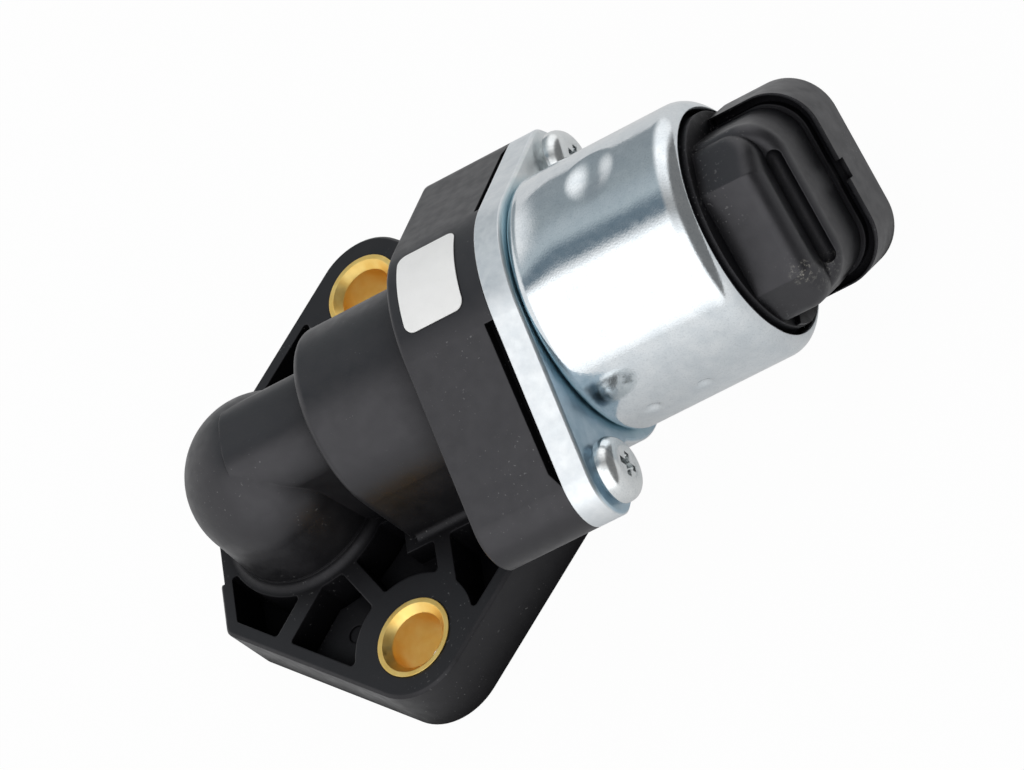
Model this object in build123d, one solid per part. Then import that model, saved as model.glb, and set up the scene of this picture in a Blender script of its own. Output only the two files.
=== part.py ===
from build123d import *
import math
import os

os.makedirs("parts", exist_ok=True)

# Idle air control valve, millimetres.
# X runs along the solenoid axis towards the socket, Y along the line of the two bolt holes,
# Z up from the mounting face. The origin is midway between the bolt holes on the mounting face.

# Clearances
FIT_PRESS = 0.03
FIT_SLIDE = 0.06
GAP = 0.25

# End cap disc, the can rolled over it and the round middle of the flange
CAP_R = 13.55
CAN_WALL = 0.9
RIM_R = 3.0
RIM_ROLL = 66.0
RIM_GAP = 0.3
CAN_R = CAP_R + RIM_GAP + RIM_R - (RIM_R - CAN_WALL) * math.cos(math.radians(RIM_ROLL))
BULGE_R = CAN_R

# Main layout
FLANGE_LIFT = 1.5
AXIS_Z = BULGE_R + FLANGE_LIFT
BOLT_PITCH = 50.0
PLATE_T = 8.0
ELBOW_X = -11.7
PORT_X = -ELBOW_X
STROKE = 4.0

# Mounting plate
BOSS_R = 7.6
EDGE_ANGLE = 47.8
PLATE_END = 25.5
PLATE_CORNER_R = 1.8
END_STEP = 0.7
END_STEP_Y = 5.4
TOP_CHAMFER = 0.35

# Bolt bushes
BUSH_R = 5.0
BUSH_BORE_R = 3.5
BUSH_CHAMFER = 0.9
BUSH_PROUD = 0.15

# Coring pockets
CORE_WALL = 1.8
RING_R = 12.25
BOSS_PAD_R = 8.3
CORE_FLOOR = 1.6
LEDGE_FLOOR = 4.9
LEDGE_RING_R = 14.2
RIB_W = 2.4
RIB_EDGE_SHIFT = 10.9
RIB_BOSS_ANGLE = 61.5
RIB_MID_X = 5.7
RIB_MID_W = 2.2
LEDGE_STRIP = 1.5
CORE_LAND = 0.6
EJECTOR_R = 1.1
EJECTOR_D = 0.2
EJECTOR_X = -9.4
EJECTOR_Y = -18.5
CORE_CORNER_R = 0.5

# Elbow and bridge
ELBOW_R = 10.3
ELBOW_BASE_R = 10.9
DOME_DROP = 2.1
DOME_Z = AXIS_Z - DOME_DROP
ELBOW_FILLET = 1.1
DUCT_R = 8.0
DUCT_DRAFT = 0.25
BRIDGE_W = 6.9
BRIDGE_R = 5.6
ORIFICE_R = 5.0

# Valve chamber
CHAMBER_X = 1.4
CHAMBER_R = 12.05
CHAMBER_EDGE_R = 1.1
CHAMBER_BORE_R = 9.8
CHAMBER_WALL = 2.6
CHAMBER_FILLET = 0.9
OUTLET_R = 7.4

# Flange of the housing and steel plate
FLANGE_BACK = 17.9
FLANGE_T = 12.5
FLANGE_FRONT = FLANGE_BACK + FLANGE_T
STEEL_T = 3.6
STEEL_FRONT = FLANGE_FRONT + STEEL_T
LOBE_R = 5.0
WAIST_R = 3.0
PLATE_DROP = 1.0
FLANGE_EDGE_R = 0.5
WEDGE_GAP = 1.25
WEDGE_END = 1.0
WEDGE_FAR_GAP = 0.7
WEDGE_FAR_END = 0.6
WEDGE_RUN = 0.9
WEDGE_DEPTH = 1.6
STEEL_EDGE = 0.35

# Hub of the steel plate and its seal
HUB_R = 11.4
HUB_L = 3.0
SEAL_SEC = 1.6
SEAL_GAP = 0.2
BEARING_R = 4.0

# Screws
SCREW_R = 2.0
SCREW_L = 13.5
HEAD_R = 4.0
HEAD_H = 2.8
HEAD_UNDER = 0.7
HEAD_FLAT_R = 1.6
RECESS_L = 3.2
RECESS_W = 0.9
RECESS_D = 1.5
SCREW_NEAR_GAP = 3.6
SCREW_FAR_GAP = 0.4
SCREW_NEAR_Y = -(CAN_R + HEAD_R + SCREW_NEAR_GAP)
SCREW_FAR_Y = CAN_R + HEAD_R + SCREW_FAR_GAP

# Solenoid can
CAN_L = 23.5
CAN_BASE_R = 1.5
CAN_END = STEEL_FRONT + CAN_L
CAN_HOLE_R = 9.0

# Coil
BOBBIN_T = 1.1
BOBBIN_GAP = 0.5
BOBBIN_R = CAN_R - CAN_WALL - BOBBIN_GAP
BOBBIN_TUBE_R = 8.2
COIL_GAP = 0.3
COIL_X0 = STEEL_FRONT + CAN_WALL + COIL_GAP
CAP_SEAT = 4.3
COIL_X1 = CAN_END - CAP_SEAT
WIRE_INSET = 0.9
WIRE_R = BOBBIN_R - WIRE_INSET
GUIDE_R = 7.05
GUIDE_T = 0.6
YOKE_T = 1.4

# Sliding valve
SHAFT_R = 2.0
POPPET_R = 6.7
POPPET_T = 2.2
POPPET_CHAMFER = 0.5
POPPET_HUB_R = 3.6
POPPET_HUB_L = 3.2
FACE_T = 0.9
FACE_PROUD = 0.4
SEAT_R = 7.0
SEAT_SINK = 1.6
SEAT_LIP = 0.6
SEAT_LIP_R = 6.0
CLIP_T = 0.7
CLIP_R = 3.4
CLIP_GROOVE_R = 1.5
ARMATURE_L = 10.4
ARMATURE_LIFT = 1.2
SHIM_T = 0.3
POLE_RECESS = 1.6
POLE_BORE_GAP = 0.7
POLE_GAP = 0.6

# Spring
SPRING_R = 5.4
SPRING_WIRE = 0.55
SPRING_TURNS = 7
SPRING_CUP_T = 0.8
SPRING_CUP_R = 7.6

# End cap and socket
SOCKET_ANGLE = 45.0
CAP_GAP = 0.3
CAP_PROUD = 0.5
CAP_ROOT = 0.1
CAP_FACE = CAN_END + CAP_PROUD
NECK_HALF = 10.9
NECK_SHIFT = -0.6
NECK_BACK = 11.0
NECK_FLAT = 6.5
NECK_BEVEL = 7.0
NECK_L = 7.4
BLOCK_L = 9.7
BLOCK_HALF = 10.8
BLOCK_BACK = 6.6
BLOCK_CORNER_R = 5.0
BLOCK_EDGE_R = 1.6
NECK_EDGE_R = 2.2
NECK_CORNER_R = 3.6
VALLEY_R = 1.0
VALLEY_HALF = 7.2
SHROUD_LEDGE = 2.0
SHROUD_HALF = 12.15
SHROUD_CORNER_R = 6.0
SHROUD_BACK = -2.5
SHROUD_MOUTH = -9.8
GROOVE_W = 0.9
GROOVE_D = 1.4
KEY_W = 2.5
KEY_D = 1.1
CAVITY_BACK = 2.0
CAVITY_WALL = 1.6
CAVITY_CORNER_R = 2.4
CAVITY_FLOOR = 2.2
MOUTH_WALL = 1.7
MOUTH_CORNER_R = 3.4
MOUTH_FLOOR = -5.0
LUG_T = 0.6
LUG_W = 3.0
LUG_SPREAD = 2.4

# Contact strips
BLADE_W = 2.8
BLADE_T = 0.8
BLADE_PITCH = 6.0
BLADE_TIP = -6.6
STRIP_FIT = 0.05
STRIP_GAP = 0.8
STRIP_COVER = 0.6
STRIP_DROP = 1.8
STRIP_OUT = 9.6

# Port seal
SEAL_RING_R = 10.1
SEAL_W = 1.8
SEAL_D = 1.5

# Label
LABEL_INSET = 1.7
LABEL_L = 8.0
LABEL_Y0 = -4.8
LABEL_Y1 = 6.4
LABEL_T = 0.1
LABEL_CORNER_R = 1.2


def rod(radius, x0, x1):
    return Pos((x0 + x1) / 2, 0, AXIS_Z) * Rot(0, 90, 0) * Cylinder(radius, x1 - x0)


def ring(outer, inner, x0, x1):
    return rod(outer, x0, x1) - rod(inner, x0 - 1, x1 + 1)


def turned(points):
    outline = Polyline(*[(x, 0, AXIS_Z + r) for x, r in points], close=True)
    return revolve(make_face(outline), Axis((0, 0, AXIS_Z), (1, 0, 0)))


def upright(radius, x, y, z0, z1):
    return Pos(x, y, (z0 + z1) / 2) * Cylinder(radius, z1 - z0)


def across(x):
    return Plane(origin=(x, 0, AXIS_Z), x_dir=(0, 1, 0), z_dir=(1, 0, 0))


def both_sides(shape):
    return shape + mirror(shape, about=Plane.XZ)


def save(shape, name):
    shape.label = name
    export_step(shape, "parts/" + name + ".step")


# Mounting plate outline, its four edges tangent to the bolt bosses
edge_a = math.radians(EDGE_ANGLE)
bolt_y = BOLT_PITCH / 2
apex_y = bolt_y + BOSS_R / math.sin(edge_a)
end_y = apex_y - PLATE_END / math.tan(edge_a)


def plate_outline(inset):
    y_apex = apex_y - inset / math.sin(edge_a)
    x_end = PLATE_END - inset
    y_end = y_apex - x_end / math.tan(edge_a)
    return Polygon(
        (-x_end, -y_end), (0, -y_apex), (x_end, -y_end), (x_end, y_end), (0, y_apex), (-x_end, y_end),
        align=None,
    )


outline = plate_outline(0)
outline = fillet(outline.vertices().filter_by(lambda v: abs(v.X) < 1), BOSS_R)
outline = fillet(outline.vertices().filter_by(lambda v: abs(v.X) > PLATE_END - 0.01), PLATE_CORNER_R)
plate = extrude(outline, PLATE_T)
plate = chamfer(plate.faces().sort_by(Axis.Z)[-1].edges(), TOP_CHAMFER)
plate -= Pos(-PLATE_END, 0, PLATE_T / 2) * Box(2 * END_STEP, 2 * END_STEP_Y, 2 * PLATE_T)

# Elbow: a drafted upright tube with a round top
dome_top = DOME_Z + ELBOW_R
half = math.sqrt(0.5)


def dome(base_r, base_z, top_r):
    flank = Polyline((0, 0, base_z), (base_r, 0, base_z), (top_r, 0, DOME_Z))
    crown = ThreePointArc(
        (top_r, 0, DOME_Z), (top_r * half, 0, DOME_Z + top_r * half), (0, 0, DOME_Z + top_r)
    )
    spine = Line((0, 0, DOME_Z + top_r), (0, 0, base_z))
    return Pos(ELBOW_X, 0, 0) * revolve(make_face(flank + crown + spine), Axis.Z)


elbow = dome(ELBOW_BASE_R, PLATE_T - 1, ELBOW_R)
foot_in = ELBOW_BASE_R - 0.4
foot_out = ELBOW_BASE_R + ELBOW_FILLET
foot_sag = ELBOW_FILLET * (1 - half)
elbow_foot = make_face(
    Polyline(
        (foot_out, 0, PLATE_T), (foot_out, 0, PLATE_T - 0.5), (foot_in, 0, PLATE_T - 0.5),
        (foot_in, 0, PLATE_T + ELBOW_FILLET), (ELBOW_BASE_R, 0, PLATE_T + ELBOW_FILLET),
    )
    + ThreePointArc(
        (ELBOW_BASE_R, 0, PLATE_T + ELBOW_FILLET),
        (ELBOW_BASE_R + foot_sag, 0, PLATE_T + foot_sag),
        (foot_out, 0, PLATE_T),
    )
)
elbow += Pos(ELBOW_X, 0, 0) * revolve(elbow_foot, Axis.Z)

# Bridge from the elbow to the chamber
arch = Pos(0, dome_top / 2) * Rectangle(2 * BRIDGE_W, dome_top)
arch = fillet(arch.vertices().group_by(Axis.Y)[-1], BRIDGE_R)
bridge_plane = Plane(origin=(ELBOW_X, 0, 0), x_dir=(0, 1, 0), z_dir=(1, 0, 0))
bridge = extrude(bridge_plane * arch, CHAMBER_X + CHAMBER_WALL - ELBOW_X)

# Valve chamber with its round front edge
u_shape = Pos(0, AXIS_Z) * Circle(CHAMBER_R) + Pos(0, AXIS_Z / 2) * Rectangle(2 * CHAMBER_R, AXIS_Z)
chamber_plane = Plane(origin=(CHAMBER_X, 0, 0), x_dir=(0, 1, 0), z_dir=(1, 0, 0))
chamber = extrude(chamber_plane * u_shape, FLANGE_BACK + 1 - CHAMBER_X)
front_edges = chamber.edges().filter_by(
    lambda e: abs(e.center().X - CHAMBER_X) < 1e-4 and e.center().Z > 1
)
chamber = fillet(front_edges, CHAMBER_EDGE_R)


def chamber_foot_point(dy, dz):
    return (FLANGE_BACK + 1, CHAMBER_R + dy, PLATE_T + dz)


foot_sag = CHAMBER_FILLET * (1 - half)
chamber_foot = make_face(
    Polyline(
        chamber_foot_point(CHAMBER_FILLET, 0),
        chamber_foot_point(CHAMBER_FILLET, -0.5),
        chamber_foot_point(-0.4, -0.5),
        chamber_foot_point(-0.4, CHAMBER_FILLET),
        chamber_foot_point(0, CHAMBER_FILLET),
    )
    + ThreePointArc(
        chamber_foot_point(0, CHAMBER_FILLET),
        chamber_foot_point(foot_sag, foot_sag),
        chamber_foot_point(CHAMBER_FILLET, 0),
    )
)
foot_run = FLANGE_BACK + 1 - (CHAMBER_X + CHAMBER_EDGE_R)
chamber += both_sides(extrude(chamber_foot, foot_run, dir=(-1, 0, 0)))

# Two-lobed flange outline: a round middle joined by straight slopes to the screw lobes
lobes = Pos(SCREW_NEAR_Y, 0) * Circle(LOBE_R) + Pos(SCREW_FAR_Y, 0) * Circle(LOBE_R)
lobed = make_hull((Circle(BULGE_R) + lobes).edges())
# The steel plate follows it above the axis; below, it hangs lower and draws in to a waist by each lobe
lower_half = Pos(0, -BULGE_R) * Rectangle(4 * BULGE_R, 2 * BULGE_R)
web_mid = (SCREW_NEAR_Y + SCREW_FAR_Y) / 2
web = Pos(web_mid, -LOBE_R / 2) * Rectangle(SCREW_FAR_Y - SCREW_NEAR_Y, LOBE_R)
below = (Circle(BULGE_R + PLATE_DROP) + lobes + web) & lower_half
corners = below.vertices().filter_by(lambda v: abs(v.Y + LOBE_R) < 0.01 and abs(v.X) < BULGE_R + PLATE_DROP)
below = fillet(corners, WAIST_R)
waisted = lobed - lower_half + below
flange = extrude(across(FLANGE_BACK) * lobed, FLANGE_T)
flange = fillet(flange.faces().sort_by(Axis.X)[0].edges(), FLANGE_EDGE_R)


# A slot opens between the flange and the steel plate along each upper slope
def slope_wedge(screw_y, gap_mid, gap_end):
    side = math.copysign(1, screw_y)
    lean = math.asin((BULGE_R - LOBE_R) / abs(screw_y))
    ny = side * math.sin(lean)
    nz = math.cos(lean)
    mid = Vector(0, BULGE_R * ny, AXIS_Z + BULGE_R * nz)
    lobe = Vector(0, screw_y + LOBE_R * ny, AXIS_Z + LOBE_R * nz)
    tail = mid + (lobe - mid) * WEDGE_RUN
    face = make_face(
        Polyline(
            mid + Vector(FLANGE_FRONT + 0.01, 0, 0),
            mid + Vector(FLANGE_FRONT - gap_mid, 0, 0),
            tail + Vector(FLANGE_FRONT - gap_end, 0, 0),
            lobe + Vector(FLANGE_FRONT + 0.01, 0, 0),
            close=True,
        )
    )
    return extrude(face, WEDGE_DEPTH, dir=(0, ny, nz), both=True)


flange -= slope_wedge(SCREW_NEAR_Y, WEDGE_GAP, WEDGE_END)
flange -= slope_wedge(SCREW_FAR_Y, WEDGE_FAR_GAP, WEDGE_FAR_END)

housing = plate + elbow + bridge + chamber + flange

# Coring pockets between the plate edge, the bosses, the elbow ring, the chamber and the ribs
core = plate_outline(CORE_WALL)
core -= Pos(ELBOW_X, 0) * Circle(RING_R)
core -= Pos(0, bolt_y) * Circle(BOSS_PAD_R) + Pos(0, -bolt_y) * Circle(BOSS_PAD_R)
far = 2 * apex_y
bridge_keep = 2 * (BRIDGE_W + CHAMBER_FILLET)
core -= Pos(ELBOW_X + far / 2, 0) * Rectangle(far, bridge_keep)
chamber_keep = 2 * (CHAMBER_R + CHAMBER_FILLET + CORE_LAND)
core -= Pos(CHAMBER_X - CORE_LAND + far / 2, 0) * Rectangle(far, chamber_keep)
core -= Pos(FLANGE_BACK - CORE_WALL + far / 2, 0) * Rectangle(far, 2 * far)
to_edge = Pos(ELBOW_X + RIB_EDGE_SHIFT, 0) * Rot(0, 0, -135)
rib_edge = to_edge * Pos(far / 2, 0) * Rectangle(far, RIB_W)
to_boss = Pos(0, -bolt_y) * Rot(0, 0, 180 - RIB_BOSS_ANGLE)
rib_boss = to_boss * Pos(bolt_y / 2, 0) * Rectangle(bolt_y, RIB_MID_W)
rib_mid = Pos(RIB_MID_X, -bolt_y / 2) * Rectangle(RIB_MID_W, bolt_y)
core -= both_sides(rib_edge + rib_boss + rib_mid)
core = offset(offset(core, -CORE_CORNER_R), CORE_CORNER_R)

# Raised floor on the boss side of the two middle pockets
ledge_at = RIB_W / 2 + LEDGE_STRIP
ledge = to_edge * Pos(far / 2, ledge_at + far / 2) * Rectangle(2 * far, far)
ledge -= Pos(ELBOW_X, 0) * Circle(LEDGE_RING_R)
ledge -= Pos(RIB_MID_X + far / 2, 0) * Rectangle(far, 2 * far)
ledge &= Pos(0, -far / 2) * Rectangle(2 * far, far)
ledge_area = both_sides(ledge)
deep = core - ledge_area
shallow = core & ledge_area
housing -= Pos(0, 0, CORE_FLOOR) * extrude(deep, PLATE_T - CORE_FLOOR + 0.5)
housing -= Pos(0, 0, LEDGE_FLOOR) * extrude(shallow, PLATE_T - LEDGE_FLOOR + 0.5)

# Round ejector mark on each of these floors
ejector = upright(EJECTOR_R, EJECTOR_X, EJECTOR_Y, LEDGE_FLOOR - EJECTOR_D, LEDGE_FLOOR + EJECTOR_D)
housing -= both_sides(ejector)

# Air passages
duct = dome(DUCT_R + DUCT_DRAFT, -1, DUCT_R)
chamber_floor = CHAMBER_X + CHAMBER_WALL
orifice = rod(ORIFICE_R, ELBOW_X, chamber_floor + CHAMBER_WALL)
chamber_bore = rod(CHAMBER_BORE_R, chamber_floor, FLANGE_FRONT + 1)
outlet = upright(OUTLET_R, PORT_X, 0, -1, AXIS_Z)
housing -= duct + orifice + chamber_bore + outlet

# Seat, hub and seal recesses
seat_back = chamber_floor - SEAT_SINK
hub_back = FLANGE_FRONT - HUB_L
seal_back = FLANGE_FRONT - SEAL_SEC
seal_in = HUB_R + SEAL_GAP
seal_out = seal_in + SEAL_SEC
housing -= rod(SEAT_R + FIT_PRESS, seat_back, chamber_floor + 1)
housing -= rod(HUB_R + 0.1, hub_back - GAP, FLANGE_FRONT + 1)
housing -= rod(seal_out + SEAL_GAP, seal_back, FLANGE_FRONT + 1)

# Bolt and screw holes
for side in (-1, 1):
    housing -= upright(BUSH_R + FIT_PRESS, 0, side * bolt_y, -1, PLATE_T + 1)
for screw_y in (SCREW_NEAR_Y, SCREW_FAR_Y):
    housing -= Pos(0, screw_y, 0) * rod(SCREW_R + FIT_PRESS, FLANGE_FRONT - SCREW_L, FLANGE_FRONT + 1)


# Seal track in the mounting face
def seal_track(grow):
    outer = SEAL_RING_R + SEAL_W / 2 + grow
    inner = SEAL_RING_R - SEAL_W / 2 - grow
    rings = Pos(ELBOW_X, 0) * Circle(outer) + Pos(PORT_X, 0) * Circle(outer)
    rings += Rectangle(2 * (PORT_X - inner), SEAL_W + 2 * grow)
    rings -= Pos(ELBOW_X, 0) * Circle(inner) + Pos(PORT_X, 0) * Circle(inner)
    return extrude(rings, SEAL_D)


housing -= seal_track(0.15)
save(housing, "valve_housing")
save(seal_track(0), "port_seal")

# Bolt bushes with a countersunk mouth at the top
for name, side in (("mount_bush_near", -1), ("mount_bush_far", 1)):
    bush_h = PLATE_T + BUSH_PROUD
    bush = upright(BUSH_R, 0, side * bolt_y, 0, bush_h)
    bush -= upright(BUSH_BORE_R, 0, side * bolt_y, -1, bush_h + 1)
    rings = bush.edges().filter_by(GeomType.CIRCLE)
    bore_edges = rings.filter_by(lambda e: abs(e.radius - BUSH_BORE_R) < 0.01)
    bush = chamfer(bore_edges.sort_by(Axis.Z)[-1], BUSH_CHAMFER)
    save(bush, name)

# Steel flange plate with hub, shaft bearing bore and screw holes
steel = extrude(across(FLANGE_FRONT) * waisted, STEEL_T)
steel = chamfer(steel.faces().sort_by(Axis.X)[-1].edges(), STEEL_EDGE)
steel += rod(HUB_R, hub_back, FLANGE_FRONT + 1)
steel -= rod(BEARING_R + FIT_PRESS, hub_back - 1, STEEL_FRONT + 1)
for screw_y in (SCREW_NEAR_Y, SCREW_FAR_Y):
    steel -= Pos(0, screw_y, 0) * rod(SCREW_R + GAP, FLANGE_FRONT - 1, STEEL_FRONT + 1)
save(steel, "flange_plate")

save(ring(seal_out, seal_in, seal_back, FLANGE_FRONT), "flange_seal")


# Pan-head screws with a cross recess
def screw(y):
    head_top = STEEL_FRONT + HEAD_H
    rim_x = STEEL_FRONT + HEAD_H * 0.4
    tip_x = FLANGE_FRONT - SCREW_L + 1
    shank = Polyline(
        (head_top, 0, HEAD_FLAT_R), (head_top, 0, 0), (tip_x, 0, 0), (tip_x, 0, SCREW_R - 0.8),
        (tip_x + 0.8, 0, SCREW_R), (STEEL_FRONT, 0, SCREW_R), (STEEL_FRONT, 0, HEAD_R - HEAD_UNDER),
        (STEEL_FRONT + HEAD_UNDER, 0, HEAD_R), (rim_x, 0, HEAD_R),
    )
    crown = TangentArc((rim_x, 0, HEAD_R), (head_top, 0, HEAD_FLAT_R), tangent=(1, 0, 0))
    body = revolve(make_face(shank + crown), Axis.X)
    recess_x = head_top - RECESS_D / 2
    slots = Pos(recess_x, 0, 0) * (
        Box(RECESS_D + 1, RECESS_L, RECESS_W) + Box(RECESS_D + 1, RECESS_W, RECESS_L)
    )
    taper = Pos(recess_x, 0, 0) * Rot(0, 90, 0) * Cone(0.9, RECESS_L * 0.62, RECESS_D + 1)
    return Pos(0, y, AXIS_Z) * (body - (slots & taper))


save(Compound(children=[screw(SCREW_NEAR_Y), screw(SCREW_FAR_Y)]), "flange_screws")

# Drawn can: round foot at the plate, rim rolled in at the open end
can_in = CAN_R - CAN_WALL
roll = math.radians(RIM_ROLL)
roll_c = CAN_R - RIM_R
roll_x = CAN_END - RIM_R * math.sin(roll)


def on_roll(radius, angle):
    return (roll_x + radius * math.sin(angle), 0, roll_c + radius * math.cos(angle))


def on_foot(radius, angle):
    foot_x = STEEL_FRONT + CAN_BASE_R
    foot_c = CAN_R - CAN_BASE_R
    return (foot_x - radius * math.cos(angle), 0, foot_c + radius * math.sin(angle))


def can_skin(foot_r, roll_r):
    skin = Line((on_foot(foot_r, 0)[0], 0, CAN_HOLE_R), on_foot(foot_r, 0))
    skin += ThreePointArc(on_foot(foot_r, 0), on_foot(foot_r, math.pi / 4), on_foot(foot_r, math.pi / 2))
    skin += Line(on_foot(foot_r, math.pi / 2), on_roll(roll_r, 0))
    skin += ThreePointArc(on_roll(roll_r, 0), on_roll(roll_r, roll / 2), on_roll(roll_r, roll))
    return skin


rim_inner = RIM_R - CAN_WALL
foot_inner = CAN_BASE_R - CAN_WALL
can_outline = can_skin(CAN_BASE_R, RIM_R) + can_skin(foot_inner, rim_inner)
can_outline += Line((STEEL_FRONT, 0, CAN_HOLE_R), (STEEL_FRONT + CAN_WALL, 0, CAN_HOLE_R))
can_outline += Line(on_roll(RIM_R, roll), on_roll(rim_inner, roll))
can = Pos(0, 0, AXIS_Z) * revolve(make_face(can_outline), Axis.X)
save(can, "solenoid_can")

# Coil spool, winding and guide tube
bobbin = ring(BOBBIN_R, GUIDE_R + FIT_PRESS, COIL_X0, COIL_X1)
bobbin -= ring(BOBBIN_R + 1, BOBBIN_TUBE_R, COIL_X0 + BOBBIN_T, COIL_X1 - BOBBIN_T)
save(bobbin, "coil_bobbin")
save(ring(WIRE_R, BOBBIN_TUBE_R + GAP, COIL_X0 + BOBBIN_T + 0.1, COIL_X1 - BOBBIN_T - 0.1), "coil_winding")
guide_x0 = STEEL_FRONT + 0.2
guide_in = GUIDE_R - GUIDE_T
save(ring(GUIDE_R, guide_in, guide_x0, COIL_X1), "guide_tube")

# Sliding valve, shown closed
seat_top = chamber_floor + SEAT_LIP
head_x0 = seat_top + FACE_PROUD
head_x1 = head_x0 + POPPET_T
hub_x1 = head_x1 + POPPET_HUB_L
armature_x0 = guide_x0 + ARMATURE_LIFT
armature_x1 = armature_x0 + ARMATURE_L
clip_x1 = head_x0 - 0.02
clip_x0 = clip_x1 - CLIP_T
face_in = CLIP_R + 0.5
shaft_x0 = clip_x0 - 1.0

save(
    turned([
        (seat_back, ORIFICE_R), (seat_back, SEAT_R), (chamber_floor, SEAT_R), (chamber_floor, SEAT_LIP_R),
        (seat_top, SEAT_LIP_R - 0.3), (seat_top, ORIFICE_R),
    ]),
    "seat_ring",
)
poppet = rod(POPPET_R, head_x0, head_x1) + rod(POPPET_HUB_R, head_x0, hub_x1)
head_rims = poppet.edges().filter_by(GeomType.CIRCLE).filter_by(lambda e: e.radius > POPPET_R - 0.1)
poppet = chamfer(head_rims.sort_by(Axis.X)[-1], POPPET_CHAMFER)
poppet -= rod(SHAFT_R + FIT_PRESS, head_x0 - 1, hub_x1 + 1)
poppet -= ring(POPPET_R - 0.25, face_in, head_x0 - 1, seat_top + FACE_T)
save(poppet, "poppet")
save(ring(POPPET_R - 0.35, face_in + 0.1, seat_top, seat_top + FACE_T), "poppet_seal")

shaft = rod(SHAFT_R, shaft_x0, armature_x1 + 0.5)
shaft -= ring(SHAFT_R + 1, CLIP_GROOVE_R, clip_x0 - 0.03, clip_x1 + 0.03)
shaft = chamfer(shaft.edges().group_by(Axis.X)[0] + shaft.edges().group_by(Axis.X)[-1], 0.3)
save(shaft, "valve_shaft")
clip_gap = Pos((clip_x0 + clip_x1) / 2, 0, AXIS_Z - CLIP_R) * Box(3 * CLIP_T, 1.9 * CLIP_GROOVE_R, 2 * CLIP_R)
save(ring(CLIP_R, CLIP_GROOVE_R + FIT_PRESS, clip_x0, clip_x1) - clip_gap, "poppet_clip")

armature = ring(guide_in - FIT_SLIDE, SHAFT_R + FIT_PRESS, armature_x0, armature_x1)
armature = chamfer(
    armature.edges().filter_by(GeomType.CIRCLE).filter_by(lambda e: e.radius > guide_in - 0.5), 0.4
)
save(armature, "armature")

# Fixed core, its shim and the yoke washer above the coil
shim_x0 = armature_x1 + STROKE + POLE_GAP
core_x0 = shim_x0 + SHIM_T
yoke_x1 = COIL_X1 + YOKE_T
save(ring(guide_in - 0.3, SHAFT_R + POLE_BORE_GAP, shim_x0, core_x0), "gap_shim")
pole = rod(guide_in - FIT_PRESS, core_x0, yoke_x1)
pole -= rod(SHAFT_R + POLE_BORE_GAP, core_x0 - 1, core_x0 + POLE_RECESS)
save(pole, "pole_core")

# Shaft bearing, spring cup and spring
cup_x0 = hub_back - SPRING_CUP_T
bearing = ring(BEARING_R, SHAFT_R + FIT_SLIDE, cup_x0, STEEL_FRONT - 0.3)
save(bearing, "front_bearing")
save(
    turned([
        (hub_back, BEARING_R + 0.1), (hub_back, SPRING_CUP_R), (cup_x0 - 0.8, SPRING_CUP_R),
        (cup_x0 - 0.8, SPRING_CUP_R - 0.7), (cup_x0, SPRING_CUP_R - 0.7), (cup_x0, BEARING_R + 0.1),
    ]),
    "spring_cup",
)
spring_x0 = head_x1 + SPRING_WIRE + 0.05
spring_x1 = cup_x0 - SPRING_WIRE - 0.05
spring_l = spring_x1 - spring_x0
coil_path = Helix(pitch=spring_l / SPRING_TURNS, height=spring_l, radius=SPRING_R)
wire = Plane(origin=coil_path @ 0, z_dir=coil_path % 0) * Circle(SPRING_WIRE)
spring = sweep(wire, path=coil_path, is_frenet=True)
save(Pos(spring_x0, 0, AXIS_Z) * Rot(0, 90, 0) * spring, "return_spring")

# Frame of the socket: u along X, v across, w towards the back of the socket
turn = math.radians(SOCKET_ANGLE)
socket = Plane(origin=(0, 0, AXIS_Z), x_dir=(1, 0, 0), z_dir=(0, -math.sin(turn), math.cos(turn)))


neck_end = CAP_FACE + NECK_L
block_end = CAP_FACE + BLOCK_L
shroud_end = block_end + SHROUD_LEDGE
cavity_x0 = CAP_FACE + CAVITY_BACK
cavity_x1 = block_end - CAVITY_WALL
cavity_half = BLOCK_HALF - CAVITY_WALL
mouth_x1 = shroud_end - MOUTH_WALL
mouth_half = SHROUD_HALF - MOUTH_WALL
blade_x = (cavity_x0 + cavity_x1) / 2
strip_w = CAVITY_FLOOR + STRIP_COVER + BLADE_T / 2
strip_x = CAP_FACE - STRIP_DROP


def oval(x0, x1, half_width, corner_r):
    shape = Pos((x0 + x1) / 2, 0) * Rectangle(x1 - x0, 2 * half_width)
    return fillet(shape.vertices().group_by(Axis.X)[-1], corner_r)


def prism(shape, w0, w1):
    return socket * (Pos(0, 0, w0) * extrude(shape, w1 - w0))


def brick(u0, u1, v0, v1, w0, w1):
    block = Pos((u0 + u1) / 2, (v0 + v1) / 2, (w0 + w1) / 2) * Box(u1 - u0, v1 - v0, w1 - w0)
    return socket * block


# Contact strips: blade, run back, step out and leg down to the coil
def strip(side, grow):
    v = side * BLADE_PITCH / 2
    out_v = side * STRIP_OUT
    hw = BLADE_W / 2 + grow
    ht = BLADE_T / 2 + grow
    blade = brick(blade_x - ht, blade_x + ht, v - hw, v + hw, BLADE_TIP - grow, strip_w + ht)
    run = brick(strip_x - ht, blade_x + ht, v - hw, v + hw, strip_w - ht, strip_w + ht)
    jog = brick(
        strip_x - hw, strip_x + hw, min(v, out_v) - hw, max(v, out_v) + hw, strip_w - ht, strip_w + ht
    )
    leg = brick(COIL_X1, strip_x, out_v - hw, out_v + hw, strip_w - ht, strip_w + ht)
    return blade + run + jog + leg


save(Compound(children=[strip(-1, 0), strip(1, 0)]), "terminals")

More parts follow.
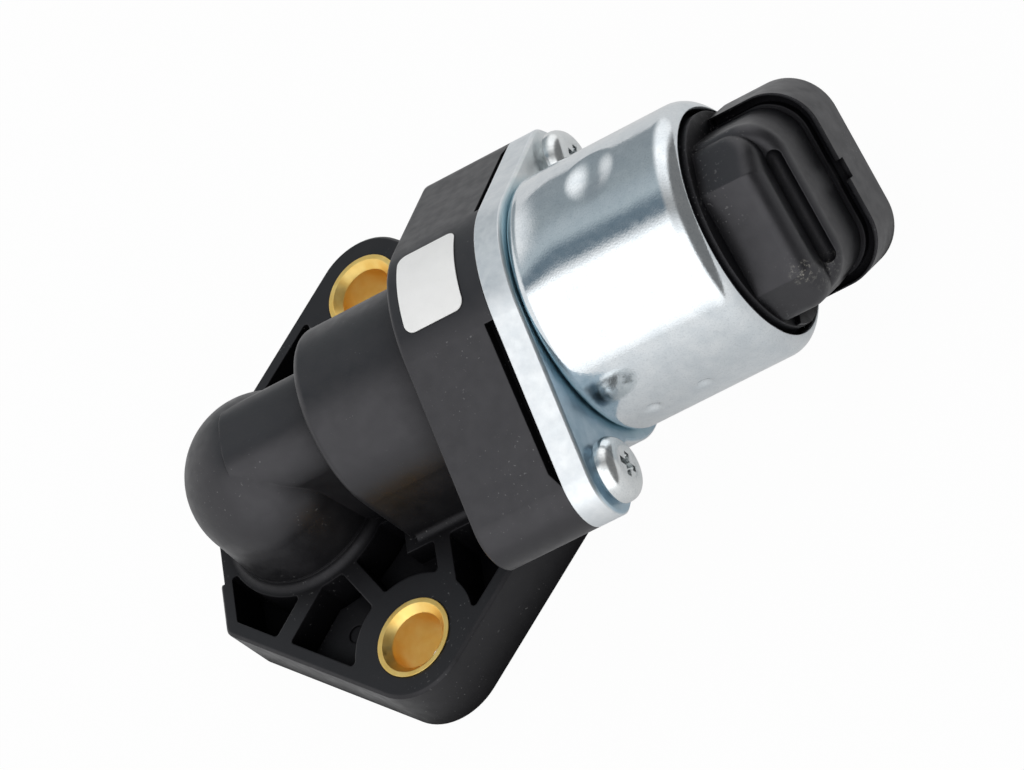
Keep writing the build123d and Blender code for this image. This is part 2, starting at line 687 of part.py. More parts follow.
yoke = ring(can_in - FIT_SLIDE, guide_in + FIT_PRESS, COIL_X1, yoke_x1)
for side in (-1, 1):
    slot_v = side * STRIP_OUT
    slot_hw = BLADE_W / 2 + STRIP_GAP
    slot_ht = BLADE_T / 2 + STRIP_GAP
    yoke -= brick(
        COIL_X1 - 1, yoke_x1 + 1, slot_v - slot_hw, slot_v + slot_hw, strip_w - slot_ht, strip_w + slot_ht
    )
save(yoke, "yoke_washer")

# End cap: shouldered disc under the rolled rim, bevelled neck, socket block and shroud
shoulder_r = can_in - CAP_GAP
shoulder_x = roll_x + 0.4
disc_x = shoulder_x + (shoulder_r - CAP_R)
cap = turned([
    (yoke_x1, 0), (yoke_x1, shoulder_r), (shoulder_x, shoulder_r),
    (disc_x, CAP_R), (CAP_FACE, CAP_R), (CAP_FACE, 0),
])
neck_shape = Polygon(
    (-NECK_HALF, SHROUD_BACK), (NECK_HALF, SHROUD_BACK), (NECK_HALF, NECK_BEVEL), (NECK_FLAT, NECK_BACK),
    (-NECK_FLAT, NECK_BACK), (-NECK_HALF, NECK_BEVEL), align=None,
)
neck_plane = Plane(
    origin=(CAP_FACE, 0, AXIS_Z), x_dir=(0, math.cos(turn), math.sin(turn)), z_dir=(1, 0, 0)
)
neck_root = CAP_PROUD / 2
neck = extrude(neck_plane * Pos(NECK_SHIFT, 0, -neck_root) * neck_shape, NECK_L + neck_root)
back_dir = Axis((0, 0, 0), (0, -math.sin(turn), math.cos(turn)))
side_dir = Axis((0, 0, 0), neck_plane.x_dir)
neck_ends = neck.edges().group_by(Axis.X)[-1].sort_by(side_dir)
neck = fillet([neck_ends[0], neck_ends[-1]], NECK_CORNER_R)
neck = fillet(neck.edges().group_by(Axis.X)[-1].sort_by(back_dir)[-3:], NECK_EDGE_R)
block = prism(oval(CAP_FACE - CAP_ROOT, block_end, BLOCK_HALF, BLOCK_CORNER_R), SHROUD_BACK - 1, BLOCK_BACK)
block_top = block.faces().sort_by(back_dir)[-1]
block = fillet(block_top.edges().filter_by(lambda e: e.center().X > CAP_FACE), BLOCK_EDGE_R)
shroud = prism(oval(CAP_FACE - CAP_ROOT, shroud_end, SHROUD_HALF, SHROUD_CORNER_R), SHROUD_MOUTH, SHROUD_BACK)
cap += neck + block + shroud

# Valley behind the neck, round at both ends
valley_run = VALLEY_HALF - VALLEY_R
valley = Rot(90, 0, 0) * Cylinder(VALLEY_R, 2 * valley_run)
valley += Pos(0, valley_run, 0) * Sphere(VALLEY_R) + Pos(0, -valley_run, 0) * Sphere(VALLEY_R)
cap -= socket * (Pos(neck_end + VALLEY_R - 0.1, NECK_SHIFT, BLOCK_BACK) * valley)

# Groove in the shroud ledge and key notch across it
groove_side = (SHROUD_HALF - BLOCK_HALF - GROOVE_W) / 2
groove_end = (SHROUD_LEDGE - GROOVE_W) / 2
groove_far = BLOCK_HALF + groove_side + GROOVE_W
groove_out = oval(CAP_FACE + 0.2, block_end + groove_end + GROOVE_W, groove_far, SHROUD_CORNER_R - 0.5)
groove_in = oval(CAP_FACE - 1, block_end + groove_end, BLOCK_HALF + groove_side, BLOCK_CORNER_R)
cap -= prism(groove_out - groove_in, SHROUD_BACK - GROOVE_D, SHROUD_BACK + 0.2)
key_x0 = block_end + groove_end + GROOVE_W / 2
cap -= brick(key_x0, shroud_end + 1, -KEY_W / 2, KEY_W / 2, SHROUD_BACK - KEY_D, SHROUD_BACK + 0.5)

# Socket cavity and its wider mouth
def rounded(x0, x1, half_width, corner_r):
    shape = Pos((x0 + x1) / 2, 0) * Rectangle(x1 - x0, 2 * half_width)
    return fillet(shape.vertices(), corner_r)


cavity = rounded(cavity_x0, cavity_x1, cavity_half, CAVITY_CORNER_R)
mouth = rounded(cavity_x0, mouth_x1, mouth_half, MOUTH_CORNER_R)
cap -= prism(cavity, SHROUD_MOUTH - 1, CAVITY_FLOOR) + prism(mouth, SHROUD_MOUTH - 1, MOUTH_FLOOR)

# Three-cornered pads on the end disc beside the neck
pad_plane = Plane(origin=(CAP_FACE - 0.2, 0, AXIS_Z), x_dir=neck_plane.x_dir, z_dir=(1, 0, 0))
for side in (-1, 1):
    pad_shape = Polygon(
        (NECK_SHIFT + side * (NECK_HALF - 0.3), LUG_W),
        (side * CAP_R, LUG_W + LUG_SPREAD),
        (side * CAP_R, LUG_W - LUG_SPREAD),
        align=None,
    )
    cap += extrude(pad_plane * (pad_shape & Circle(CAP_R - 0.1)), LUG_T + 0.2)
cap -= strip(-1, STRIP_FIT) + strip(1, STRIP_FIT)
save(cap, "connector_cap")

# Bare sticker on the round middle of the flange
label_x = FLANGE_BACK + LABEL_INSET
label_in = BULGE_R + FIT_PRESS
skin = Circle(label_in + LABEL_T) - Circle(label_in)
sticker_plan = Pos(label_x + LABEL_L / 2, (LABEL_Y0 + LABEL_Y1) / 2) * Rectangle(LABEL_L, LABEL_Y1 - LABEL_Y0)
sticker_plan = fillet(sticker_plan.vertices(), LABEL_CORNER_R)
sticker = extrude(across(label_x - LABEL_INSET) * skin, LABEL_L + 2 * LABEL_INSET)
sticker &= Pos(0, 0, AXIS_Z) * extrude(sticker_plan, 2 * BULGE_R)
save(sticker, "id_label")
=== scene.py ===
import math

import bmesh
import bpy
from mathutils import Matrix, Vector


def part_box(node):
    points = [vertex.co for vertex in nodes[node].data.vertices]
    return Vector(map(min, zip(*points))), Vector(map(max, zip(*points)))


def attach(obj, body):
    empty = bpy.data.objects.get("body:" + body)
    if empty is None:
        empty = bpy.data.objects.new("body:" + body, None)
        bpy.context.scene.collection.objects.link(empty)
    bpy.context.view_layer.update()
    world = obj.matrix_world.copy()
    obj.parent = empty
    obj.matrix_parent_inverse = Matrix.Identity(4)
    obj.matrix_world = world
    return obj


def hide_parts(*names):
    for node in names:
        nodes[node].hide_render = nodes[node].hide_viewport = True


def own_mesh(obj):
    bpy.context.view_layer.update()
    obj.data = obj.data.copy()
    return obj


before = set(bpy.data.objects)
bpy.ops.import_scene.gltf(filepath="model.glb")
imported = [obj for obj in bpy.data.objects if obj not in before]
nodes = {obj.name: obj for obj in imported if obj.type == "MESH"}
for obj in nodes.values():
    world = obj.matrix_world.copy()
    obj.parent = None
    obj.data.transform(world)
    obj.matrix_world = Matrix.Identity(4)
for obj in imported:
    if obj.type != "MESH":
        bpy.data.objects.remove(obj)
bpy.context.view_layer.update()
MM = 0.001
scene = bpy.context.scene

# Camera at the photo's viewing angle
IMAGE_W = 1024
SENSOR_W = 36.0
FOCAL_PX = 7010.25
CLIP_START = 0.01
CAM_LOCATION = Vector((347.17, -470.58, 593.26)) * MM
CAM_RIGHT = Vector((0.8168, -0.1280, -0.5625))
CAM_UP = Vector((0.4150, 0.8077, 0.4188))
CAM_BACK = Vector((0.4007, -0.5755, 0.7129))

cam_data = bpy.data.cameras.new("photo_camera")
cam_data.sensor_width = SENSOR_W
cam_data.lens = FOCAL_PX * SENSOR_W / IMAGE_W
cam_data.clip_start = CLIP_START
cam = bpy.data.objects.new("photo_camera", cam_data)
scene.collection.objects.link(cam)
turn = Matrix((CAM_RIGHT, CAM_UP, CAM_BACK)).transposed()
cam.matrix_world = Matrix.LocRotScale(CAM_LOCATION, turn.to_quaternion(), None)
scene.camera = cam
scene.view_settings.view_transform = "Standard"

# Places read from the frame, in metres
can_lo, can_hi = (Vector(c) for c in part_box("solenoid_can"))
plate_hi = Vector(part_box("flange_plate")[1])
bush_lo, bush_hi = (Vector(c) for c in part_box("mount_bush_far"))
AXIS_Z = (can_lo.z + can_hi.z) / 2
CAN_R = (can_hi.z - can_lo.z) / 2
BOLT_Y = (bush_lo.y + bush_hi.y) / 2

# Sockets of the Mix node that carry colours
MIX_AMOUNT, MIX_A, MIX_B, MIX_OUT = 0, 6, 7, 2
# Spans of a noise that give soft clouds, and a gentle change over the whole face
CLOUD_SPAN = (0.35, 0.65)
DRIFT_SPAN = (0.3, 0.7)
# How far a roughness strays from its stated value
ROUGH_LESS = 0.05
ROUGH_MORE = 0.06
BEVEL_SAMPLES = 6
SHELTER_SAMPLES = 8


# Adds nodes to a node tree
class Tree:
    def __init__(self, tree):
        self.tree = tree

    def add(self, kind, inputs=None, **props):
        node = self.tree.nodes.new(kind)
        for key, value in props.items():
            setattr(node, key, value)
        for key, value in (inputs or {}).items():
            self.feed(node.inputs[key], value)
        return node

    def feed(self, socket, value):
        if isinstance(value, bpy.types.NodeSocket):
            self.tree.links.new(value, socket)
        else:
            socket.default_value = value

    def fit(self, value, lo, hi, to_lo=0.0, to_hi=1.0, **props):
        inputs = {"Value": value, "From Min": lo, "From Max": hi, "To Min": to_lo, "To Max": to_hi}
        return self.add("ShaderNodeMapRange", inputs, **props).outputs["Result"]

    def math(self, operation, *values):
        return self.add("ShaderNodeMath", dict(enumerate(values)), operation=operation).outputs[0]

    def mix(self, amount, a, b):
        node = self.add("ShaderNodeMix", data_type="RGBA")
        for index, value in ((MIX_AMOUNT, amount), (MIX_A, a), (MIX_B, b)):
            if isinstance(value, tuple):
                value = (*value, 1.0)
            self.feed(node.inputs[index], value)
        return node.outputs[MIX_OUT]

    def xyz(self, vector):
        return self.add("ShaderNodeSeparateXYZ", {"Vector": vector}).outputs

    def length(self, a, b):
        squares = [self.math("MULTIPLY", side, side) for side in (a, b)]
        return self.math("SQRT", self.math("ADD", *squares))


# A material on the Principled shader, with patterns placed in the row frame; sizes are in mm
class Shader(Tree):
    def __init__(self, name, bevel=0.0):
        self.mat = bpy.data.materials.new(name)
        self.mat.use_nodes = True
        super().__init__(self.mat.node_tree)
        self.bsdf = self.tree.nodes["Principled BSDF"]
        self.normal = None
        self.place = self.add("ShaderNodeTexCoord").outputs["Object"]
        self.x, self.y, self.z = self.xyz(self.place)
        if bevel:
            soft = self.add("ShaderNodeBevel", {"Radius": bevel * MM}, samples=BEVEL_SAMPLES)
            self.normal = soft.outputs["Normal"]

    def set(self, **values):
        for key, value in values.items():
            self.feed(self.bsdf.inputs[key.replace("_", " ")], value)

    def stretched(self, scale):
        inputs = {"Vector": self.place, "Scale": scale}
        return self.add("ShaderNodeMapping", inputs).outputs["Vector"]

    def noise(self, size, detail=2.0, rough=0.5, place=None):
        inputs = {
            "Vector": place or self.place,
            "Scale": 1 / (size * MM),
            "Detail": detail,
            "Roughness": rough,
        }
        return self.add("ShaderNodeTexNoise", inputs).outputs["Fac"]

    def clouds(self, size, detail=4.0, rough=0.5):
        return self.fit(self.noise(size, detail, rough), *CLOUD_SPAN)

    def drift(self, size, detail, low=0.0, high=1.0):
        return self.fit(self.noise(size, detail), *DRIFT_SPAN, low, high)

    def sheen(self, size, detail, rough, more=ROUGH_MORE):
        return self.drift(size, detail, rough - ROUGH_LESS, rough + more)

    def waves(self, along, pitch):
        return self.math("SINE", self.math("MULTIPLY", along, 2 * math.pi / (pitch * MM)))

    def bump(self, height, depth, strength):
        inputs = {"Height": height, "Distance": depth * MM, "Strength": strength}
        if self.normal is not None:
            inputs["Normal"] = self.normal
        self.normal = self.add("ShaderNodeBump", inputs).outputs["Normal"]

    def done(self):
        if self.normal is not None:
            self.set(Normal=self.normal)
        return self.mat


NYLON_IOR = 1.63
NYLON_TINT = (0.95, 0.94, 1.0, 1.0)
NYLON_BEVEL = 0.25
DUST_COLOR = (0.13, 0.13, 0.13)
DUST_EDGE = 0.05
DUST_PATCHES = (0.5, 0.64)
DUST_SHARE = 0.6
SCUFF_CORE = 0.3
SCRAPES = (0.53, 0.63)
# Grime and painted shade in recesses: reach in mm, then spans of the open share with what they
# give; the lower shine there is painted shade, the higher roughness matt grime
SHADE_AND_GRIME_REACH = 7.0
ROUGH_WHERE = (0.4, 0.9)
GRIME_ROUGH = 0.25
SHINE_WHERE = (0.45, 0.97)
PAINTED_SHADE_SHINE = 0.04
OPEN_SHINE = 0.5
# Shine of the part below a height, and the rise in mm over which it fades
DULL_SHINE = 0.62
DULL_FADE = 1.5


# Moulded nylon: fine spark-eroded grain, faint flow clouds, matt recesses with painted shade (less
# shine) in them, a little dust and scuffs
def nylon(name, deep, pale, rough, dust, grain=0.02, scuffs=(), dull_below=-1.0):
    sh = Shader(name, NYLON_BEVEL)
    color = sh.mix(sh.clouds(size=7), deep, pale)
    specks = sh.fit(sh.noise(size=0.3, detail=0), dust, dust + DUST_EDGE)
    patches = sh.fit(sh.noise(size=9), *DUST_PATCHES, to_hi=DUST_SHARE)
    color = sh.mix(sh.math("MULTIPLY", specks, patches), color, DUST_COLOR)
    for spot, reach, scuff_color in scuffs:
        ends = {0: sh.place, 1: Vector(spot) * MM}
        offset = sh.add("ShaderNodeVectorMath", ends, operation="DISTANCE").outputs["Value"]
        near = sh.fit(offset, reach * MM, SCUFF_CORE * reach * MM)
        scrapes = sh.fit(sh.noise(size=0.6, detail=4, rough=0.75), *SCRAPES)
        color = sh.mix(sh.math("MULTIPLY", near, scrapes), color, scuff_color)
    sh.set(Base_Color=color, IOR=NYLON_IOR, Specular_Tint=NYLON_TINT)
    shelter = sh.add(
        "ShaderNodeAmbientOcclusion", {"Distance": SHADE_AND_GRIME_REACH * MM}, samples=SHELTER_SAMPLES
    ).outputs["AO"]
    satin = sh.sheen(size=1.6, detail=3, rough=rough)
    sh.set(Roughness=sh.math("ADD", satin, sh.fit(shelter, *ROUGH_WHERE, GRIME_ROUGH, 0.0)))
    # Painted shade: the shine drops in recesses, where the ambient occlusion is low
    painted_shade_shine = sh.fit(shelter, *SHINE_WHERE, PAINTED_SHADE_SHINE, OPEN_SHINE)
    high = sh.fit(sh.z, dull_below * MM, (dull_below + DULL_FADE) * MM, DULL_SHINE)
    sh.set(Specular_IOR_Level=sh.math("MULTIPLY", painted_shade_shine, high))
    sh.bump(sh.noise(size=1.8), depth=0.02, strength=0.35)
    sh.bump(sh.noise(size=0.16), depth=grain, strength=0.35)
    return sh.done()


PLATED_BEVEL = 0.15
SPECKLE_COLOR = (0.42, 0.46, 0.5)
SPECKLE_SPAN = (0.52, 0.72)
SPECKLE_SHARE = 0.24


# Bright zinc plate: mirror-like under a fine speckle
def zinc(name, deep, pale, rough, speckle, wave):
    sh = Shader(name, PLATED_BEVEL)
    color = sh.mix(sh.clouds(size=2.4, detail=5, rough=0.65), deep, pale)
    specks = sh.fit(sh.noise(size=0.22, detail=1), *SPECKLE_SPAN, to_hi=SPECKLE_SHARE)
    sh.set(Base_Color=sh.mix(specks, color, SPECKLE_COLOR), Metallic=1.0)
    sh.set(Roughness=sh.sheen(size=1.1, detail=4, rough=rough))
    sh.bump(sh.noise(size=14, detail=1), depth=wave, strength=0.5)
    sh.bump(sh.noise(size=0.24, detail=1), depth=speckle, strength=0.6)
    return sh.done()


# Deep and pale tone of each part of the plate; the darker, bluer near face is painted shade and the
# paler far face painted light
EDGE_TONES = ((0.73, 0.77, 0.8), (0.84, 0.87, 0.89))
SHADED_NEAR_TONES = ((0.38, 0.51, 0.6), (0.51, 0.62, 0.7))
LIT_FAR_TONES = ((0.7, 0.75, 0.77), (0.8, 0.83, 0.84))
# Where the edge turns into the face, the painted-shade near tone into the painted-light far one and
# the stain into the face
FACE_FROM = plate_hi.x - 0.3 * MM
FACE_FULL = plate_hi.x - 0.1 * MM
FAR_FROM = -4 * MM
FAR_FULL = 10 * MM
STAIN_FULL = CAN_R - 0.8 * MM
STAIN_END = CAN_R + 0.9 * MM
STAIN_COLOR = (0.3, 0.48, 0.55)
STAIN_SHARE = 0.8
FACE_POLISH = 0.1


# Steel flange plate: blue-grey passivated face, with painted light paler towards the far screw and
# painted shade darker and bluer on the near side, paler on the sheared edge, with a teal stain
# where the can stands on it
def flange_zinc():
    sh = Shader("zinc_plate", PLATED_BEVEL)
    front = sh.fit(sh.x, FACE_FROM, FACE_FULL)
    cloud = sh.clouds(size=2.4, detail=5, rough=0.65)
    edge = sh.mix(cloud, *EDGE_TONES)
    shaded_near_face = sh.mix(cloud, *SHADED_NEAR_TONES)
    lit_far_face = sh.mix(cloud, *LIT_FAR_TONES)
    # Painted shade on the near face, painted light on the far face
    face = sh.mix(sh.fit(sh.y, FAR_FROM, FAR_FULL), shaded_near_face, lit_far_face)
    reach = sh.length(sh.y, sh.math("SUBTRACT", sh.z, AXIS_Z))
    stain = sh.fit(reach, STAIN_FULL, STAIN_END, STAIN_SHARE, 0.0)
    face = sh.mix(stain, face, STAIN_COLOR)
    sh.set(Base_Color=sh.mix(front, edge, face), Metallic=1.0)
    polish = sh.math("MULTIPLY", front, FACE_POLISH)
    satin = sh.drift(size=0.9, detail=4, low=0.38, high=0.48)
    sh.set(Roughness=sh.math("SUBTRACT", satin, polish))
    drawn = sh.stretched((0.25, 1.0, 1.0))
    sh.bump(sh.noise(size=0.9, place=drawn), depth=0.01, strength=0.5)
    sh.bump(sh.noise(size=0.24, detail=1), depth=0.006, strength=0.6)
    return sh.done()


TURNED_BEVEL = 0.12
TURNED_ROUGH_MORE = 0.07


# Turned metal: fine tool rings about the solenoid axis
def turned_metal(name, deep, pale, rough, pitch):
    sh = Shader(name, TURNED_BEVEL)
    sh.set(Base_Color=sh.mix(sh.clouds(size=1.3), deep, pale), Metallic=1.0)
    sh.set(Roughness=sh.sheen(size=0.8, detail=3, rough=rough, more=TURNED_ROUGH_MORE))
    sh.bump(sh.waves(sh.x, pitch), depth=0.004, strength=0.5)
    sh.bump(sh.noise(size=0.3), depth=0.004, strength=0.4)
    return sh.done()


BRASS_TONES = ((0.92, 0.61, 0.17), (0.97, 0.71, 0.25))
BORE_COLOR = (0.98, 0.58, 0.12)
BORE_FROM = bush_hi.z - 0.8 * MM
BORE_FULL = bush_hi.z - 3.0 * MM
BORE_SHARE = 0.35


# Drawn brass bush: lathe rings about each bolt axis, deeper gold in the bore
def bush_brass():
    sh = Shader("bush_brass", TURNED_BEVEL)
    reach = sh.length(sh.x, sh.math("SUBTRACT", sh.math("ABSOLUTE", sh.y), BOLT_Y))
    color = sh.mix(sh.clouds(size=1.7), *BRASS_TONES)
    low = sh.fit(sh.z, BORE_FROM, BORE_FULL, to_hi=BORE_SHARE)
    sh.set(Base_Color=sh.mix(low, color, BORE_COLOR), Metallic=1.0)
    sh.set(Roughness=sh.drift(size=0.9, detail=3, low=0.34, high=0.46))
    sh.bump(sh.waves(sh.math("ADD", reach, sh.z), pitch=0.21), depth=0.004, strength=0.4)
    return sh.done()


RUBBER_TONES = ((0.012, 0.012, 0.013), (0.024, 0.024, 0.025))


# Moulded rubber of the seals
def rubber():
    sh = Shader("seal_rubber", bevel=0.2)
    sh.set(Base_Color=sh.mix(sh.clouds(size=2, detail=3), *RUBBER_TONES))
    sh.set(Roughness=sh.drift(size=0.7, detail=3, low=0.6, high=0.75))
    sh.bump(sh.noise(size=0.2), depth=0.015, strength=0.4)
    return sh.done()


WIRE_PITCH = 0.36
WIRE_TONES = ((0.2, 0.05, 0.02), (0.62, 0.24, 0.1))


# Enamelled wire laid side by side on the spool, with painted shade in the grooves between turns
def winding():
    sh = Shader("winding_copper")
    turns = sh.math("ABSOLUTE", sh.waves(sh.x, 2 * WIRE_PITCH))
    # Painted shade: the colour darkens in the grooves between turns
    sh.set(Base_Color=sh.mix(turns, *WIRE_TONES), Metallic=0.8)
    sh.set(Roughness=sh.drift(size=0.9, detail=2, low=0.25, high=0.4))
    sh.bump(turns, depth=0.15, strength=1.0)
    return sh.done()


PAPER_TONES = ((0.89, 0.89, 0.88), (0.93, 0.93, 0.92))
FLECK_COLOR = (0.74, 0.74, 0.73)
FLECK_SPAN = (0.62, 0.78)
FLECK_SHARE = 0.2


# Bare white sticker
def label_paper():
    sh = Shader("label_paper", bevel=0.06)
    color = sh.mix(sh.drift(size=3.2, detail=4), *PAPER_TONES)
    flecks = sh.fit(sh.noise(size=0.35), *FLECK_SPAN, to_hi=FLECK_SHARE)
    sh.set(Base_Color=sh.mix(flecks, color, FLECK_COLOR))
    sh.set(Roughness=sh.drift(size=0.8, detail=3, low=0.42, high=0.56))
    sh.bump(sh.noise(size=0.25, detail=3), depth=0.006, strength=0.4)
    return sh.done()


# Place in mm, reach in mm and colour of each scuff on the connector's neck
CAP_SCUFFS = [
    ((64.3, -12.4, 20.0), 2.0, (0.24, 0.23, 0.2)),
    ((66.3, -11.6, 16.6), 3.2, (0.12, 0.12, 0.11)),
]
PLATE_DULL_BELOW = 9.0
housing_nylon = nylon(
    "housing_nylon", (0.003, 0.003, 0.0036), (0.005, 0.0049, 0.0057),
    rough=0.41, dust=0.78, dull_below=PLATE_DULL_BELOW,
)
cap_nylon = nylon(
    "cap_nylon", (0.004, 0.004, 0.005), (0.0064, 0.0064, 0.0076),
    rough=0.39, dust=0.73, grain=0.012, scuffs=CAP_SCUFFS,
)
poppet_nylon = nylon("poppet_nylon", (0.2, 0.2, 0.205), (0.25, 0.25, 0.25), rough=0.5, dust=0.9)
bobbin_nylon = nylon("bobbin_nylon", (0.6, 0.55, 0.44), (0.68, 0.63, 0.52), rough=0.45, dust=0.9)
zinc_can = zinc(
    "zinc_can", (0.69, 0.74, 0.775), (0.79, 0.83, 0.855), rough=0.12, speckle=0.01, wave=0.03
)
zinc_screw = zinc(
    "zinc_screw", (0.72, 0.75, 0.76), (0.82, 0.84, 0.84), rough=0.2, speckle=0.004, wave=0.01
)
core_steel = turned_metal(
    "core_steel", (0.42, 0.43, 0.45), (0.56, 0.57, 0.58), rough=0.35, pitch=0.18
)
shaft_steel = turned_metal(
    "shaft_steel", (0.6, 0.61, 0.62), (0.7, 0.71, 0.72), rough=0.22, pitch=0.09
)
spring_steel = turned_metal(
    "spring_steel", (0.42, 0.43, 0.45), (0.55, 0.56, 0.57), rough=0.28, pitch=0.11
)
seat_brass = turned_metal(
    "seat_brass", (0.68, 0.47, 0.18), (0.8, 0.6, 0.28), rough=0.26, pitch=0.16
)
bearing_bronze = turned_metal(
    "bearing_bronze", (0.45, 0.27, 0.12), (0.6, 0.4, 0.2), rough=0.45, pitch=0.4
)
contact_tin = turned_metal(
    "contact_tin", (0.6, 0.59, 0.56), (0.72, 0.71, 0.68), rough=0.3, pitch=0.3
)

looks = [
    (housing_nylon, ["valve_housing"]),
    (cap_nylon, ["connector_cap"]),
    (poppet_nylon, ["poppet"]),
    (bobbin_nylon, ["coil_bobbin"]),
    (zinc_can, ["solenoid_can"]),
    (flange_zinc(), ["flange_plate"]),
    (zinc_screw, ["flange_screws"]),
    (core_steel, ["pole_core", "yoke_washer", "armature", "spring_cup"]),
    (shaft_steel, ["valve_shaft", "poppet_clip"]),
    (spring_steel, ["return_spring"]),
    (seat_brass, ["seat_ring", "guide_tube", "gap_shim"]),
    (bearing_bronze, ["front_bearing"]),
    (contact_tin, ["terminals"]),
    (bush_brass(), ["mount_bush_near", "mount_bush_far"]),
    (rubber(), ["port_seal", "flange_seal", "poppet_seal"]),
    (winding(), ["coil_winding"]),
    (label_paper(), ["id_label"]),
]
for material, names in looks:
    for name in names:
        nodes[name].data.materials.clear()
        nodes[name].data.materials.append(material)


# Closed skin turned about the solenoid axis; shift moves each point in or out, all in mm
def lathe(name, profile, segments, shift):
    mesh = bpy.data.meshes.new(name)
    bm = bmesh.new()
    rings = []
    for step in range(segments):
        angle = 2 * math.pi * step / segments
        ring = []
        for x, r in profile:
            r += shift(x, r, angle)
            spot = Vector((x, r * math.sin(angle), AXIS_Z / MM + r * math.cos(angle)))
            ring.append(bm.verts.new(spot * MM))
        rings.append(ring)
    count = len(profile)
    for step in range(segments):
        near, far = rings[step], rings[(step + 1) % segments]
        for i in range(count):
            j = (i + 1) % count
            face = bm.faces.new((near[i], near[j], far[j], far[i]))
            face.smooth = True
    bmesh.ops.recalc_face_normals(bm, faces=bm.faces)
    bm.to_mesh(mesh)
    bm.free()
    obj = bpy.data.objects.new(name, mesh)
    scene.collection.objects.link(obj)
    return obj


def arc(cx, cr, radius, start, end, steps):
    points = []
    for i in range(steps + 1):
        a = math.radians(start + (end - start) * i / steps)
        points.append((cx + radius * math.sin(a), cr + radius * math.cos(a)))
    return points


# Drawn can with its round foot, rolled rim and the knocks that the photo shows, in mm and degrees
CAN_WALL = 0.9
FOOT_R = 1.5
HOLE_R = 9.0
RIM_R = 3.0
RIM_ROLL = 66.0
LIP_OUT = 3.0
LIP_IN = 4.0
SKIN_SLACK = 0.01
SEGMENTS = 288
WALL_STEPS = 96
FOOT_STEPS = 10
ROLL_STEPS = 20
FOOT_STEPS_IN = 5
ROLL_STEPS_IN = 8
can_x0 = can_lo.x / MM
can_r = CAN_R / MM
foot_x = can_x0 + FOOT_R
foot_r = can_r - FOOT_R
roll_x = can_hi.x / MM - RIM_R * math.sin(math.radians(RIM_ROLL))
roll_r = can_r - RIM_R
# The foot is drawn in over part of its turn
FLARE_AT = 14.0
FLARE_HALF = 40.0
FLARE_L = 5.0
FLARE_D = 0.85
KNOCKS = [
    # x, angle from +Z towards +Y, half length, half width, depth
    (46.4, 15.0, 3.8, 4.4, 0.72),
    (39.7, -100.5, 1.4, 1.1, 0.46),
    (46.5, -101.5, 1.5, 1.0, 0.46),
]


def turned_from(angle, degrees):
    return (math.degrees(angle) - degrees + 180) % 360 - 180


def knock(x, r, angle):
    inside = r < can_r - CAN_WALL + SKIN_SLACK and x > foot_x
    if inside or x > roll_x:
        return 0.0
    run = max(0.0, 1 - (x - foot_x) / FLARE_L)
    spread = max(0.0, 1 - (turned_from(angle, FLARE_AT) / FLARE_HALF) ** 2)
    sink = -FLARE_D * min(1.0, run) ** 2 * spread ** 2
    for at_x, at_angle, half_x, half_a, depth in KNOCKS:
        off = math.radians(turned_from(angle, at_angle)) * can_r
        d = (x - at_x) ** 2 / half_x ** 2 + off ** 2 / half_a ** 2
        if d < 1:
            sink -= depth * (1 - d) ** 2
    return sink * min(1.0, max(0.0, (r - foot_r) / FOOT_R))


skin = arc(foot_x, foot_r, FOOT_R, -90, 0, FOOT_STEPS)
skin += [(foot_x + (roll_x - foot_x) * i / WALL_STEPS, can_r) for i in range(1, WALL_STEPS)]
skin += arc(roll_x, roll_r, RIM_R, 0, RIM_ROLL - LIP_OUT, ROLL_STEPS)
skin += arc(roll_x, roll_r, RIM_R - CAN_WALL, RIM_ROLL - LIP_IN, 0, ROLL_STEPS_IN)
skin += arc(foot_x, foot_r, FOOT_R - CAN_WALL, 0, -90, FOOT_STEPS_IN)
skin += [(can_x0 + CAN_WALL, HOLE_R), (can_x0, HOLE_R)]
can_shell = lathe("can_shell", skin, SEGMENTS, knock)
can_shell.data.materials.append(zinc_can)
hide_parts("solenoid_can")
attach(can_shell, "fixed_body")

# Return spring: its own copy of the part's mesh, held on the fixed body
spring_coil = bpy.data.objects.new("spring_coil", nodes["return_spring"].data.copy())
scene.collection.objects.link(spring_coil)
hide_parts("return_spring")
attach(spring_coil, "fixed_body")
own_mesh(spring_coil)

# Floor: white to the camera, less so in reflections, with the object's shadow kept; in reflections
# a painted shade dims it close to the object
FLOOR_HALF = 3.0
FLOOR_DROP = 0.0002
FLOOR_COLOR = (0.72, 0.72, 0.72, 1.0)
FLOOR_ROUGH = 0.9
CAMERA_SHARE = 0.97
# White share of the floor in reflections, smaller close to the object as painted shade: place along
# Y and share, close to the object and in front
MIRROR_NEAR = (-0.022, 0.28)
MIRROR_FAR = (-0.12, 0.66)
floor_mesh = bpy.data.meshes.new("floor")
corners = [
    (FLOOR_HALF * x, FLOOR_HALF * y, -FLOOR_DROP) for x, y in ((-1, -1), (1, -1), (1, 1), (-1, 1))
]
floor_mesh.from_pydata(corners, [], [(0, 1, 2, 3)])
floor = bpy.data.objects.new("floor", floor_mesh)
scene.collection.objects.link(floor)
paint = Shader("floor_white")
paint.set(Base_Color=FLOOR_COLOR, Roughness=FLOOR_ROUGH, Specular_IOR_Level=0.0)
path = paint.add("ShaderNodeLightPath").outputs
# Painted shade: in reflections the floor glows less close to the object
painted_shade_share = paint.fit(paint.y, MIRROR_NEAR[0], MIRROR_FAR[0], MIRROR_NEAR[1], MIRROR_FAR[1])
mirrored = paint.math("MULTIPLY", path["Is Glossy Ray"], painted_shade_share)
share = paint.math("MULTIPLY_ADD", path["Is Camera Ray"], CAMERA_SHARE, mirrored)
glow = paint.add("ShaderNodeEmission")
blend = paint.add("ShaderNodeMixShader", {0: share, 1: paint.bsdf.outputs[0], 2: glow.outputs[0]})
paint.feed(paint.tree.nodes["Material Output"].inputs["Surface"], blend.outputs[0])
floor_mesh.materials.append(paint.done())

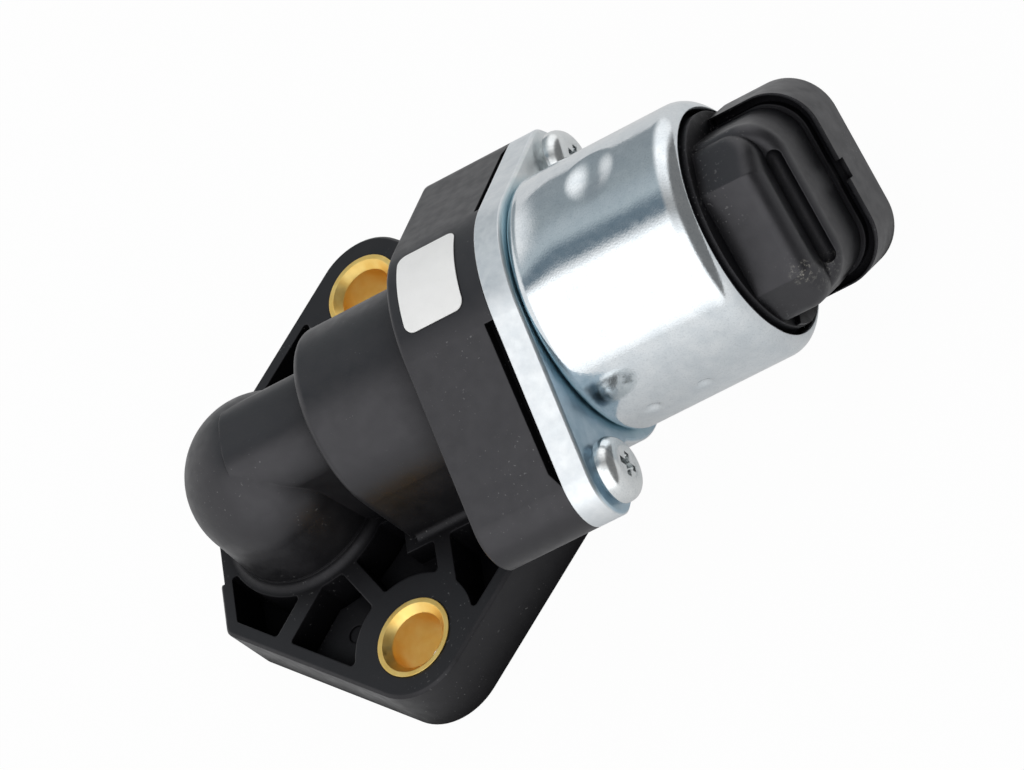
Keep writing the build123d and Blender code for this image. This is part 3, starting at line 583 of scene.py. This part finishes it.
# Studio: soft boxes in front, behind on the right and at the left end; dark overhead and on the
# right
BOX = 1.5
END_BOX = (0.95, 0.95, 0.95)
END_WALL = (0.2, 0.2, 0.2)
WHITE = (1.0, 1.0, 1.0)
GAP = (0.16, 0.21, 0.25)
LEFT_HALF = [
    # degrees from overhead, back is positive; light level
    (-180, 0.8),
    (-92, 1.0),
    (-80, BOX),
    (-12, BOX),
    (-5, 0.8),
    (1, GAP),
    (12, GAP),
    (21, (0.47, 0.53, 0.56)),
    (32, (0.43, 0.48, 0.51)),
    (46, (0.32, 0.36, 0.38)),
    (92, (0.28, 0.31, 0.33)),
    (104, 0.8),
]
RIGHT_HALF = [
    (-180, 0.8),
    (-92, 1.0),
    (-80, BOX),
    (-28, BOX),
    (-2, 0.4),
    (8, 0.45),
    (30, 1.1),
    (50, 1.3),
    (80, 1.1),
    (104, 0.8),
]
# Where one light gives way to the next, along X of the direction
HALVES_MEET = (-0.34, 0.02)
END_BOX_MEETS = (-0.48, -0.66)
END_WALL_MEETS = (0.4, 0.62)
world = bpy.data.worlds.new("studio")
scene.world = world
world.use_nodes = True
studio = Tree(world.node_tree)
aim_x, aim_y, aim_z = studio.xyz(studio.add("ShaderNodeTexCoord").outputs["Generated"])
lean = studio.math("ARCTAN2", aim_y, aim_z)


def soft_step(span):
    return studio.fit(aim_x, *span, interpolation_type="SMOOTHSTEP")


def light_ramp(levels):
    ramp = studio.add("ShaderNodeValToRGB", {"Fac": studio.fit(lean, -math.pi, math.pi)})
    stops = ramp.color_ramp.elements
    while len(stops) < len(levels):
        stops.new(1.0)
    for stop, (degrees, level) in zip(stops, levels):
        stop.position = (degrees + 180) / 360
        stop.color = (*(level if isinstance(level, tuple) else (level,) * 3), 1.0)
    return ramp.outputs["Color"]


sky = studio.mix(soft_step(HALVES_MEET), light_ramp(LEFT_HALF), light_ramp(RIGHT_HALF))
sky = studio.mix(soft_step(END_BOX_MEETS), sky, END_BOX)
sky = studio.mix(soft_step(END_WALL_MEETS), sky, END_WALL)
sky = studio.mix(studio.add("ShaderNodeLightPath").outputs["Is Camera Ray"], sky, WHITE)
studio.feed(studio.tree.nodes["Background"].inputs["Color"], sky)
